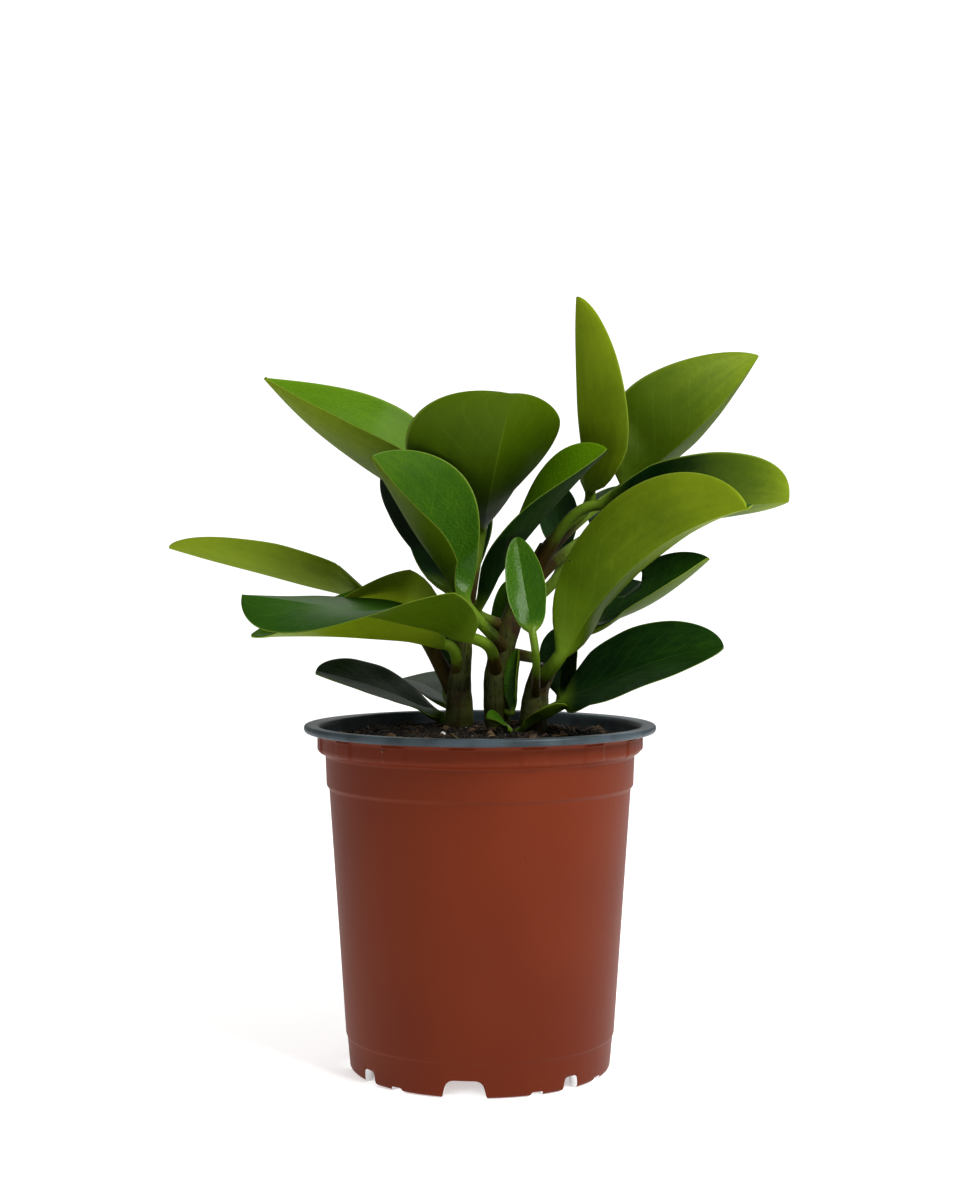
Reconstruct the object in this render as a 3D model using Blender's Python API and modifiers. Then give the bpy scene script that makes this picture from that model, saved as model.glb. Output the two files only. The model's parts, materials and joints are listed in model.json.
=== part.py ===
"""Potted peperomia: a bushy young plant in a 12 cm nursery pot of thermoformed plastic.

Metres, +Z up. The origin is on the pot's axis, on the floor that the pot stands on, with the
front of the plant towards -Y. The sizes below are in millimetres; MM turns them into metres
where a mesh is made.
"""

import math
from collections import namedtuple

import bmesh
import bpy
import numpy as np
from mathutils import Matrix, Vector

MM = 0.001
GAP = 0.35  # clearance that touching pieces keep

# Pot
RIM_RADIUS = 60.2
RIM_HEIGHT = 116.5
LIP_UNDERSIDE = 113.7
MOUTH_RADIUS = 54.2
COLLAR_RADIUS = 55.2
COLLAR_FOOT = 106.3
BAND_RADIUS = 52.6
STEP_HEIGHT = 95.0
WALL_TOP_RADIUS = 51.3
WALL_FOOT = 11.4
WALL_FOOT_RADIUS = 45.6
SHEET = 1.1
FOOT_RADIUS = 44.4
FOOT_BAND = 7.0
FOOT_RING = 3.2  # width of the ring that the pot stands on
BASE_TOP = 6.6
BASE_UNDERSIDE = 5.2
POT_STEPS = 40
DRAIN_HOLES = 6
DRAIN_HOLE_RADIUS = 3.5
DRAIN_CIRCLE_RADIUS = 30.0

# Notches in the foot: angle from the front, degrees to the right; width in degrees; height
NOTCHES = [
    (-6.5, 18, 5.8),
    (-54.5, 8, 4.5),
    (41.5, 8, 4.5),
    (24.5, 6, 1.3),
    (-37.5, 6, 1.3),
    (60.5, 6, 1.3),
    (90, 18, 4.5),
    (-90, 18, 4.5),
    (135, 8, 4.5),
    (-135, 8, 4.5),
    (180, 18, 5.8),
]

# Peat
SOIL_CROWN = 114.2
SOIL_EDGE = 109.4
SOIL_STEPS = 32
SOIL_RINGS = 5

STEM_SIDES = 12

# Leaf mesh
RING = 8  # points round a section
STALK_SECTIONS = 4
BLADE_SECTIONS = 10
HALF_THICKNESS = 0.65
BITE_PLACE = 0.42  # share of the bitten leaf's length where its far edge is eaten
BITE_RADIUS = 8.0
CREASE = 0.08  # half width of the rounded crease along the midrib, as a share of the half blade
BLEND = 0.22  # share of the blade over which the round stalk becomes a flat blade

# A stem's path runs up from the peat; its radii belong to the path's points.
Stem = namedtuple("Stem", "name path radii")
STEMS = [
    Stem(
        "stem_left",
        [(-7, 2, 104), (-7, 2, 116), (-7, 1, 130), (-6, 0, 143), (-6, 0, 152)],
        [5.0, 4.8, 4.0, 3.2, 2.4],
    ),
    Stem(
        "stem_centre",
        [(6, 0, 104), (6, 0, 116), (6, -1, 134), (11, 0, 152), (17, 2, 166), (23, 3, 177)],
        [4.6, 4.4, 4.3, 3.6, 3.2, 2.6],
    ),
    Stem(
        "stem_right",
        [(18, -5, 104), (18, -5, 114), (19, -5, 126), (21, -5, 136)],
        [5.0, 4.8, 4.3, 3.2],
    ),
]

# A leaf grows from foot, inside its stem, along a stalk to the base of the blade, and on to the
# tip. roll and twist turn the blade about its midrib, fold and cup raise its two halves, arch and
# sway bow the midrib, as shares of its length. All angles are in degrees.
Leaf = namedtuple(
    "Leaf",
    "name stem foot base tip width roll arch sway fold cup twist widest blunt flat tone stalk",
    defaults=(0, 0, 0, 20, 25, 0, 0.56, 0.55, 0, "olive", 1.9),
)
LEAVES = [
    Leaf("leaf_top_left", "stem_left", (-8, 1, 141), (-13, 22, 189), (-74, 2, 235), 58,
         roll=-29, arch=-0.06, sway=0.02, fold=33, cup=19, twist=-8, widest=0.34, blunt=1.0),
    Leaf("leaf_round_upper", "stem_left", (-5, 0, 150), (1, 12, 185), (10, -34, 226.5), 62,
         roll=12, arch=-0.13, sway=0.07, fold=12, cup=17, widest=0.7, blunt=0.47, flat=-0.2),
    Leaf("leaf_glossy", "stem_centre", (8, -1, 141), (-4, -30, 157), (-35, -37, 206), 47,
         roll=-46, arch=-0.07, sway=0.06, fold=50, cup=33, widest=0.58, blunt=0.7, flat=0.4,
         tone="bright"),
    Leaf("leaf_back_left", "stem_left", (-7, 1, 130), (-10, 22, 161), (-26, 54, 211), 50,
         arch=-0.05, fold=15, cup=30, tone="deep"),
    Leaf("leaf_tallest", "stem_centre", (23, 3, 176), (38, 4, 196), (33, -12, 261), 40,
         roll=-52, arch=-0.03, cup=20, widest=0.42, blunt=0.62),
    Leaf("leaf_top_right", "stem_centre", (20, 3, 171), (51, 28, 198), (100, 34, 246), 54,
         roll=-54, arch=-0.09, sway=0.02, fold=30, cup=22, widest=0.36, blunt=0.72),
    Leaf("leaf_right_upper", "stem_centre", (17, 2, 165), (41, -6, 191), (107, 8, 193), 44,
         roll=-33, arch=-0.02, fold=12, cup=18, widest=0.55, blunt=0.45),
    Leaf("leaf_right_broad", "stem_right", (19, -5, 129), (27, -18, 141), (85, -48, 189), 43,
         roll=-37, arch=0.16, fold=34, cup=20, widest=0.55, stalk=2.4),
    Leaf("leaf_diagonal", "stem_centre", (10, 0, 148), (-1, -3, 156), (42, -24, 209), 35,
         roll=21, arch=0.03, sway=0.04, fold=20, cup=16, twist=52, widest=0.63, blunt=0.6,
         tone="deep"),
    Leaf("leaf_young", "stem_right", (19, -5, 124), (17, -34, 149), (12, -24, 180), 15,
         roll=-20, arch=-0.04, fold=15, widest=0.46, blunt=0.6, tone="bright", stalk=1.3),
    Leaf("leaf_far_left", "stem_left", (-7, 1, 124), (-36, 19, 158), (-109.5, 18, 177), 38,
         roll=2, arch=-0.01, fold=24, cup=22, widest=0.45, blunt=0.65, stalk=2.4),
    Leaf("leaf_front_left", "stem_centre", (6, -1, 133), (-3, -32, 147), (-75, -54, 156.6), 50,
         roll=-4, sway=-0.07, fold=34, cup=13, twist=-47, widest=0.54, blunt=0.4, flat=1.05, tone="deep"),
    Leaf("leaf_inner_left", "stem_left", (-7, 1, 130), (-12, -8, 144.3), (-77, -13, 147.6), 54,
         arch=0.02, fold=60, cup=24, twist=-30, widest=0.26, blunt=0.65, flat=0.9),
    Leaf("leaf_low_left", "stem_left", (-7, 2, 117), (-14, 8, 118), (-56, -4, 134), 28,
         roll=-22, arch=0.03, fold=10, cup=10, tone="deep"),
    Leaf("leaf_low_right", "stem_right", (18, -5, 118), (28, -12, 124), (80, -28, 144), 36,
         roll=36, arch=0.05, fold=10, cup=12, widest=0.48, tone="deep"),
    Leaf("leaf_bitten", "stem_right", (18, -5, 121), (37, 6, 148), (80, 14, 173), 33,
         roll=14, arch=-0.06, fold=22, cup=16),
    Leaf("leaf_back_right", "stem_centre", (7, -1, 139), (28, 28, 140), (60, 54, 164), 26,
         roll=12, fold=12, cup=14, tone="deep"),
    Leaf("leaf_back_centre", "stem_centre", (10, 0, 149), (29, 28, 172), (28, 50, 200), 16,
         arch=-0.04, fold=15, tone="deep"),
    Leaf("leaf_round_small", "stem_right", (18, -5, 117), (28, 13, 125), (29, 16, 149), 16,
         fold=15, tone="deep", stalk=1.3),
    Leaf("leaf_soil_folded", "stem_right", (18, -5, 116), (13, -14, 115), (29, -18, 124), 11,
         fold=26, cup=15, tone="deep", stalk=1.0),
    Leaf("leaf_sprout", "stem_centre", (6, 0, 117), (9, -16, 116), (2, -20, 120), 9,
         roll=-30, arch=0.05, fold=15, cup=15, tone="bright", stalk=0.9),
    Leaf("leaf_pale_back", "stem_centre", (6, -1, 130), (6, 16, 135), (10, 24, 165), 9,
         fold=15, stalk=1.2),
    Leaf("leaf_inner_back", "stem_left", (-7, 1, 121), (-12, 17, 127), (-9, 25, 154), 11,
         fold=15, tone="deep", stalk=1.2),
    Leaf("leaf_low_back", "stem_left", (-7, 2, 119), (-9, 18, 120), (-30, 66, 127), 30,
         arch=0.05, fold=12, cup=12, tone="deep", stalk=1.4),
    Leaf("leaf_narrow_young", "stem_centre", (6, 0, 122), (11, -6, 121), (13, -4, 142), 8,
         fold=30, tone="bright", stalk=0.9),
    Leaf("leaf_back_upper", "stem_centre", (15, 1, 160), (44, 40, 183), (69, 72, 199), 36,
         arch=-0.03, fold=14, cup=20),
]

# Colour, roughness
FINISHES = {
    "plastic": ((0.19, 0.045, 0.022), 0.42),
    "peat": ((0.012, 0.008, 0.006), 0.95),
    "stem": ((0.10, 0.085, 0.03), 0.5),
    "olive": ((0.11, 0.19, 0.015), 0.45),
    "deep": ((0.010, 0.060, 0.012), 0.3),
    "bright": ((0.050, 0.18, 0.012), 0.25),
}


# ---------------------------------------------------------------- leaf form


def unit(vector):
    return vector / np.linalg.norm(vector)


def turned(vector, axis, degrees):
    """The vector turned about a unit axis, right handed"""
    angle = math.radians(degrees)
    across = np.cross(axis, vector)
    along = axis * np.dot(axis, vector)
    return vector * math.cos(angle) + across * math.sin(angle) + along * (1 - math.cos(angle))


def midrib(leaf, t):
    """Point, heading and upper-face normal of the midrib, at share t of the blade"""
    base, tip = np.array(leaf.base, float), np.array(leaf.tip, float)
    length = np.linalg.norm(tip - base)
    along = (tip - base) / length
    up = turned(unit(np.array((0, 0, 1)) - along * along[2]), along, leaf.roll)
    bow = up * leaf.arch + np.cross(along, up) * leaf.sway
    point = base + length * (along * t + bow * 4 * t * (1 - t))
    heading = unit(along + bow * 4 * (1 - 2 * t))
    normal = unit(up - heading * np.dot(up, heading))
    return point, heading, turned(normal, heading, leaf.twist * (t - 0.5))


def half_width(leaf, t):
    """Egg-shaped outline: narrow at the stalk, widest at leaf.widest, blunt at the tip"""
    q = leaf.blunt
    p = q * leaf.widest / (1 - leaf.widest)
    most = leaf.widest**p * (1 - leaf.widest) ** q
    blade = leaf.width / 2 * t**p * (1 - t) ** q / most
    stalk = leaf.stalk * (1 - t) ** 2
    return (blade**4 + stalk**4) ** 0.25


def half_thickness(leaf, t):
    """The stalk's radius at the base of the blade, thinning smoothly to the sheet of the blade"""
    u = min(t / BLEND, 1)
    return HALF_THICKNESS + (leaf.stalk - HALF_THICKNESS) * (1 - u * u * (3 - 2 * u))


def lifted(leaf, t, s):
    """How far out, how high and how steep share s of the half blade is, in half widths"""
    opened = min(t / BLEND, 1) ** 0.7 * (1 - leaf.flat * t)
    fold = math.radians(leaf.fold) * opened
    cup = math.radians(leaf.cup) * opened + 1e-4
    a = (math.hypot(s, CREASE) - CREASE) / (math.hypot(1, CREASE) - CREASE)
    out = (math.sin(fold + cup * a) - math.sin(fold)) / cup
    rise = (math.cos(fold) - math.cos(fold + cup * a)) / cup
    return math.copysign(out, s), rise, math.copysign(fold + cup * a, s) * min(a / CREASE, 1)


def blade_section(leaf, t):
    """One closed ring of points round the blade"""
    point, heading, normal = midrib(leaf, t)
    side = np.cross(heading, normal)
    half, thick = half_width(leaf, t), half_thickness(leaf, t)
    ring = []
    for k in range(RING):
        angle = 2 * math.pi * k / RING
        out, rise, tilt = lifted(leaf, t, math.cos(angle))
        skin = normal * math.cos(tilt) - side * math.sin(tilt)
        ring.append(point + half * (side * out + normal * rise) + skin * thick * math.sin(angle))
    return ring


def stalk_point(leaf, u):
    """Centre line of the stalk: a cubic from its foot in the stem to the base of the blade"""
    start, heading, _ = midrib(leaf, 0)
    foot = np.array(leaf.foot, float)
    reach = np.linalg.norm(start - foot)
    leave = unit(unit(start - foot) + np.array((0, 0, 0.25)))
    return (
        (2 * u**3 - 3 * u**2 + 1) * foot
        + (u**3 - 2 * u**2 + u) * leave * reach
        + (3 * u**2 - 2 * u**3) * start
        + (u**3 - u**2) * heading * reach
    )


def stalk_sections(leaf):
    """Round rings from the foot to just before the blade, turning with the stalk"""
    shares = [k / STALK_SECTIONS for k in range(STALK_SECTIONS + 1)]
    points = [stalk_point(leaf, u) for u in shares]
    _, heading, normal = midrib(leaf, 0)
    rings = []
    for i in range(STALK_SECTIONS - 1, -1, -1):
        heading = unit(points[i + 1] - points[max(i - 1, 0)])
        normal = unit(normal - heading * np.dot(normal, heading))
        side = np.cross(heading, normal)
        rings.append([
            points[i] + leaf.stalk * (side * math.cos(a) + normal * math.sin(a))
            for a in (2 * math.pi * k / RING for k in range(RING))
        ])
    return rings[::-1]


def leaf_mesh(leaf):
    """Closed loft from the foot of the stalk to the tip, in millimetres"""
    rings = stalk_sections(leaf)
    for i in range(BLADE_SECTIONS):
        rings.append(blade_section(leaf, 1 - (1 - i / BLADE_SECTIONS) ** 1.5))
    points = [point for ring in rings for point in ring]
    points += [np.mean(rings[0], axis=0), midrib(leaf, 1)[0]]
    foot, tip = len(points) - 2, len(points) - 1
    last = (len(rings) - 1) * RING
    faces = []
    for k in range(RING):
        n = (k + 1) % RING
        for i in range(0, last, RING):
            faces.append((i + k, i + n, i + RING + n, i + RING + k))
        faces.append((foot, n, k))
        faces.append((tip, last + k, last + n))
    return points, faces


# ---------------------------------------------------------------- Blender helpers


def clear_scene():
    for obj in list(bpy.data.objects):
        bpy.data.objects.remove(obj, do_unlink=True)


def new_collection(name):
    collection = bpy.data.collections.new(name)
    bpy.context.scene.collection.children.link(collection)
    return collection


def material(finish):
    """One Principled material for each finish"""
    if finish in bpy.data.materials:
        return bpy.data.materials[finish]
    colour, roughness = FINISHES[finish]
    made = bpy.data.materials.new(finish)
    made.use_nodes = True
    shader = made.node_tree.nodes["Principled BSDF"]
    shader.inputs["Base Color"].default_value = (*colour, 1)
    shader.inputs["Roughness"].default_value = roughness
    shader.inputs["Metallic"].default_value = 0
    return made


def add_object(name, mesh, collection, finish=None):
    obj = bpy.data.objects.new(name, mesh)
    collection.objects.link(obj)
    if finish:
        mesh.materials.append(material(finish))
    else:
        obj.hide_render = True
        obj.display_type = "WIRE"
    return obj


def mesh_of(name, points, faces):
    """A mesh from points in millimetres, with its faces turned outwards"""
    mesh = bpy.data.meshes.new(name)
    mesh.from_pydata([tuple(np.array(p) * MM) for p in points], [], faces)
    form = bmesh.new()
    form.from_mesh(mesh)
    bmesh.ops.recalc_face_normals(form, faces=form.faces)
    form.to_mesh(mesh)
    form.free()
    mesh.shade_smooth()
    return mesh


def boolean(obj, cutter):
    modifier = obj.modifiers.new("cut_" + cutter.name, "BOOLEAN")
    modifier.operation = "DIFFERENCE"
    modifier.solver = "EXACT"
    modifier.object = cutter


def turned_object(name, profile, steps, collection, finish):
    """A Screw about Z of (radius, height) points, which run down the outer side"""
    mesh = bpy.data.meshes.new(name)
    points = [(radius * MM, 0, height * MM) for radius, height in profile]
    mesh.from_pydata(points, [(i, i + 1) for i in range(len(points) - 1)], [])
    obj = add_object(name, mesh, collection, finish)
    screw = obj.modifiers.new("turn", "SCREW")
    screw.axis = "Z"
    screw.steps = screw.render_steps = steps
    screw.use_merge_vertices = True
    screw.merge_threshold = 0.00001
    screw.use_smooth_shade = True
    return obj


def tube_mesh(name, path, radii, grow=0.0):
    """A round stem through the path; grow thickens it and lengthens its ends"""
    path = [np.array(p, float) for p in path]
    path[0] = path[0] - unit(path[1] - path[0]) * grow
    path[-1] = path[-1] + unit(path[-1] - path[-2]) * grow
    rings, normal = [], np.array((0.0, -1.0, 0.0))
    for i, centre in enumerate(path):
        heading = unit(path[min(i + 1, len(path) - 1)] - path[max(i - 1, 0)])
        normal = unit(normal - heading * np.dot(normal, heading))
        side = np.cross(heading, normal)
        angles = [2 * math.pi * k / STEM_SIDES for k in range(STEM_SIDES)]
        radius = radii[i] + grow
        rings.append([centre + radius * (side * math.cos(a) + normal * math.sin(a)) for a in angles])
    points = [point for ring in rings for point in ring]
    faces = [tuple(range(STEM_SIDES)), tuple(range(len(points) - STEM_SIDES, len(points)))]
    for i in range(0, len(points) - STEM_SIDES, STEM_SIDES):
        for k in range(STEM_SIDES):
            n = (k + 1) % STEM_SIDES
            faces.append((i + k, i + n, i + STEM_SIDES + n, i + STEM_SIDES + k))
    return mesh_of(name, points, faces)


# ---------------------------------------------------------------- pot and peat


def pot_profile():
    """Closed section of the pot: up the inside, over the rim, down the outside, under the base"""
    wall_slope = (WALL_TOP_RADIUS - WALL_FOOT_RADIUS) / (STEP_HEIGHT - 1 - WALL_FOOT)
    outer = [
        (MOUTH_RADIUS, 112.0),
        (MOUTH_RADIUS + 0.4, 115.3),
        (MOUTH_RADIUS + 1.8, RIM_HEIGHT),
        (RIM_RADIUS - 1.9, RIM_HEIGHT),
        (RIM_RADIUS - 0.3, 115.7),
        (RIM_RADIUS, 114.7),
        (RIM_RADIUS - 0.8, LIP_UNDERSIDE),
        (COLLAR_RADIUS + 0.8, LIP_UNDERSIDE),
        (COLLAR_RADIUS, 112.9),
        (COLLAR_RADIUS, 108.6),
        (COLLAR_RADIUS - 0.7, 107.1),
        (BAND_RADIUS + 0.2, COLLAR_FOOT),
        (BAND_RADIUS - 0.3, STEP_HEIGHT + 1),
        (WALL_TOP_RADIUS, STEP_HEIGHT - 1),
        (WALL_FOOT_RADIUS, WALL_FOOT),
        (FOOT_RADIUS + 0.9, FOOT_BAND + 0.5),
        (FOOT_RADIUS + 0.3, FOOT_BAND - 0.2),
        (FOOT_RADIUS, 1.0),
        (FOOT_RADIUS - 0.8, 0),
    ]
    under = [
        (FOOT_RADIUS - FOOT_RING, 0),
        (FOOT_RADIUS - FOOT_RING - 0.3, BASE_UNDERSIDE),
        (0, BASE_UNDERSIDE),
    ]
    floor = [(0, BASE_TOP), (FOOT_RADIUS - 4.0, BASE_TOP)]
    inner = [
        (FOOT_RADIUS - 0.7, FOOT_BAND + 3.0),
        (WALL_FOOT_RADIUS - SHEET + 2 * wall_slope, WALL_FOOT + 2),
        (WALL_TOP_RADIUS - SHEET, STEP_HEIGHT - 1),
        (BAND_RADIUS - SHEET - 0.2, STEP_HEIGHT + 1.5),
        (BAND_RADIUS - SHEET, COLLAR_FOOT),
    ]
    return floor + inner + outer + under


def wedge(name, angle, width, height, collection):
    """A tapered block that notches the foot, angle in degrees from the front"""
    form = bmesh.new()
    bmesh.ops.create_cube(form, size=1)
    long, wide = 4.5 * FOOT_RING, 2 * FOOT_RADIUS * math.sin(math.radians(width / 2))
    for vert in form.verts:
        narrow = 0.78 if vert.co.z > 0 else 1.1
        vert.co.x *= wide * narrow * MM
        vert.co.y = (vert.co.y * long - FOOT_RADIUS) * MM
        vert.co.z = (height if vert.co.z > 0 else -1) * MM
    bmesh.ops.rotate(form, verts=form.verts, matrix=Matrix.Rotation(math.radians(angle), 3, "Z"))
    mesh = bpy.data.meshes.new(name)
    form.to_mesh(mesh)
    form.free()
    return add_object(name, mesh, collection)


def drain_cutter(name, index, collection):
    form = bmesh.new()
    bmesh.ops.create_cone(
        form, cap_ends=True, segments=12, depth=6 * MM,
        radius1=DRAIN_HOLE_RADIUS * MM, radius2=DRAIN_HOLE_RADIUS * MM,
    )
    angle = 2 * math.pi * (index + 0.5) / DRAIN_HOLES
    centre = (DRAIN_CIRCLE_RADIUS * math.cos(angle), DRAIN_CIRCLE_RADIUS * math.sin(angle), BASE_TOP)
    bmesh.ops.translate(form, verts=form.verts, vec=Vector(centre) * MM)
    mesh = bpy.data.meshes.new(name)
    form.to_mesh(mesh)
    form.free()
    return add_object(name, mesh, collection)


def make_pot(parts, cutters):
    pot = turned_object("nursery_pot", pot_profile(), POT_STEPS, parts, "plastic")
    for i, (angle, width, height) in enumerate(NOTCHES):
        boolean(pot, wedge(f"notch_{i}", angle, width, height, cutters))
    for i in range(DRAIN_HOLES):
        boolean(pot, drain_cutter(f"drain_{i}", i, cutters))


def make_peat(parts, stems_grown):
    """The root ball: it fills the pot with a gap, and its top is a low dome"""
    inside = BAND_RADIUS - SHEET - GAP - 0.1
    dome = []
    for i in range(SOIL_RINGS + 1):
        share = i / SOIL_RINGS
        dome.append((share * (inside - 0.6), SOIL_CROWN - (SOIL_CROWN - SOIL_EDGE) * share**2))
    side = [
        (inside, SOIL_EDGE - 1.2),
        (inside - 0.3, STEP_HEIGHT + 2),
        (WALL_TOP_RADIUS - SHEET - 0.6, STEP_HEIGHT - 1.5),
        (WALL_FOOT_RADIUS - SHEET - 0.5, WALL_FOOT + 2.5),
        (FOOT_RADIUS - 4.6, BASE_TOP + GAP),
        (0, BASE_TOP + GAP),
    ]
    peat = turned_object("peat", dome + side, SOIL_STEPS, parts, "peat")
    for cutter in stems_grown.values():
        boolean(peat, cutter)


def make_stems(parts, cutters):
    """The stems, and a slightly thicker copy of each that clears what touches it"""
    grown = {}
    for stem in STEMS:
        add_object(stem.name, tube_mesh(stem.name, stem.path, stem.radii), parts, "stem")
        mesh = tube_mesh(stem.name + "_clearance", stem.path, stem.radii, GAP)
        grown[stem.name] = add_object(stem.name + "_clearance", mesh, cutters)
    return grown


def bite_cutter(leaf, cutters):
    """A ball where the far edge of the leaf has been eaten"""
    form = bmesh.new()
    bmesh.ops.create_icosphere(form, subdivisions=2, radius=BITE_RADIUS * MM)
    point, heading, normal = midrib(leaf, BITE_PLACE)
    out, rise, _ = lifted(leaf, BITE_PLACE, -1)
    side = np.cross(heading, normal)
    centre = point + half_width(leaf, BITE_PLACE) * (side * out + normal * rise)
    bmesh.ops.translate(form, verts=form.verts, vec=Vector(centre) * MM)
    mesh = bpy.data.meshes.new("bite")
    form.to_mesh(mesh)
    form.free()
    return add_object("bite", mesh, cutters)


def make_leaves(parts, cutters, stems_grown):
    """Each leaf is cut off square with its own stem, which it touches without overlapping"""
    for leaf in LEAVES:
        obj = add_object(leaf.name, mesh_of(leaf.name, *leaf_mesh(leaf)), parts, leaf.tone)
        boolean(obj, stems_grown[leaf.stem])
        if leaf.name == "leaf_bitten":
            boolean(obj, bite_cutter(leaf, cutters))


def main():
    clear_scene()
    parts = new_collection("potted_peperomia")
    cutters = new_collection("cutters")
    make_pot(parts, cutters)
    stems_grown = make_stems(parts, cutters)
    make_peat(parts, stems_grown)
    make_leaves(parts, cutters, stems_grown)


main()
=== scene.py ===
"""Potted peperomia: the finished look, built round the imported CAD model, in metres with +Z up.

A bushy young plant with thick glossy leaves, in a round nursery pot of two-layer plastic sheet. Each
operator below makes one piece or one group of like pieces; the sidebar panel lists them in order.
Sizes in the tables are in millimetres, and MM turns them into metres where a mesh is made.
"""

import json
import math
from collections import namedtuple

import bmesh
import bpy
import numpy as np
from bpy.props import FloatProperty, FloatVectorProperty, IntProperty, PointerProperty
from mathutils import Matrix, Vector, noise

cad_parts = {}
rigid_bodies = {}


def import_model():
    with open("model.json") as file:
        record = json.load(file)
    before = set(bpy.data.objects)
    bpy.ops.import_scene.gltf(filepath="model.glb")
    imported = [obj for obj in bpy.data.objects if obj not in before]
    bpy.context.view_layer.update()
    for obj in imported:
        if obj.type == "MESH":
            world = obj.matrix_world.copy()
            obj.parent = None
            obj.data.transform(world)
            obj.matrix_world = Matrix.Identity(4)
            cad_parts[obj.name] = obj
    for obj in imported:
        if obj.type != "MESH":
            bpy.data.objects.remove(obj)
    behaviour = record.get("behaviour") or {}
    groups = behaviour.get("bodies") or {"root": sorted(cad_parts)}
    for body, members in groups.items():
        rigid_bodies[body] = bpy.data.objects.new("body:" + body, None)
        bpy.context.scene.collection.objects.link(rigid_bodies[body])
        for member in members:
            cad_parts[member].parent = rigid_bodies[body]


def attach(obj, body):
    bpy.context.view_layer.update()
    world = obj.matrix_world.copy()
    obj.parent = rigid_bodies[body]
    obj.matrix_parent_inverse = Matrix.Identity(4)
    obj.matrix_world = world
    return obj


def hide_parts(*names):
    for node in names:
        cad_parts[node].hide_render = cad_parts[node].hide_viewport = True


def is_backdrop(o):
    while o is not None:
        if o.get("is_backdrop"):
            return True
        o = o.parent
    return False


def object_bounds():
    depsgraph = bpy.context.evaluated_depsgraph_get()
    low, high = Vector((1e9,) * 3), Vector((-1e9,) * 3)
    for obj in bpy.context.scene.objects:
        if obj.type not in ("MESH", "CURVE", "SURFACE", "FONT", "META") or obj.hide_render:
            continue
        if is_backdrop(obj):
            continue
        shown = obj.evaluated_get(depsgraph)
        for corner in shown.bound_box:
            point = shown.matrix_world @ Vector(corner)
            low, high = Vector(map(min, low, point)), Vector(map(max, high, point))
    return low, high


bl_info = {
    "name": "Potted Peperomia",
    "version": (1, 0, 0),
    "blender": (4, 5, 0),
    "location": "View3D > Sidebar > Peperomia",
    "description": "A bushy peperomia with glossy leaves in a plastic nursery pot",
    "category": "Object",
}

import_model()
MM = 0.001

# ---------------------------------------------------------------- what the plant is made of

# A stem's path runs up from the peat; its radii belong to the path's points.
Stem = namedtuple("Stem", "name path radii")
STEMS = [
    Stem(
        "stem_left",
        [(-7, 2, 104), (-7, 2, 116), (-7, 1, 130), (-6, 0, 143), (-6, 0, 152)],
        [5.0, 4.8, 4.0, 3.2, 2.4],
    ),
    Stem(
        "stem_centre",
        [(6, 0, 104), (6, 0, 116), (6, -1, 134), (11, 0, 152), (17, 2, 166), (23, 3, 177)],
        [4.6, 4.4, 4.3, 3.6, 3.2, 2.6],
    ),
    Stem(
        "stem_right",
        [(18, -5, 104), (18, -5, 114), (19, -5, 126), (21, -5, 136)],
        [5.0, 4.8, 4.3, 3.2],
    ),
]

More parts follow.
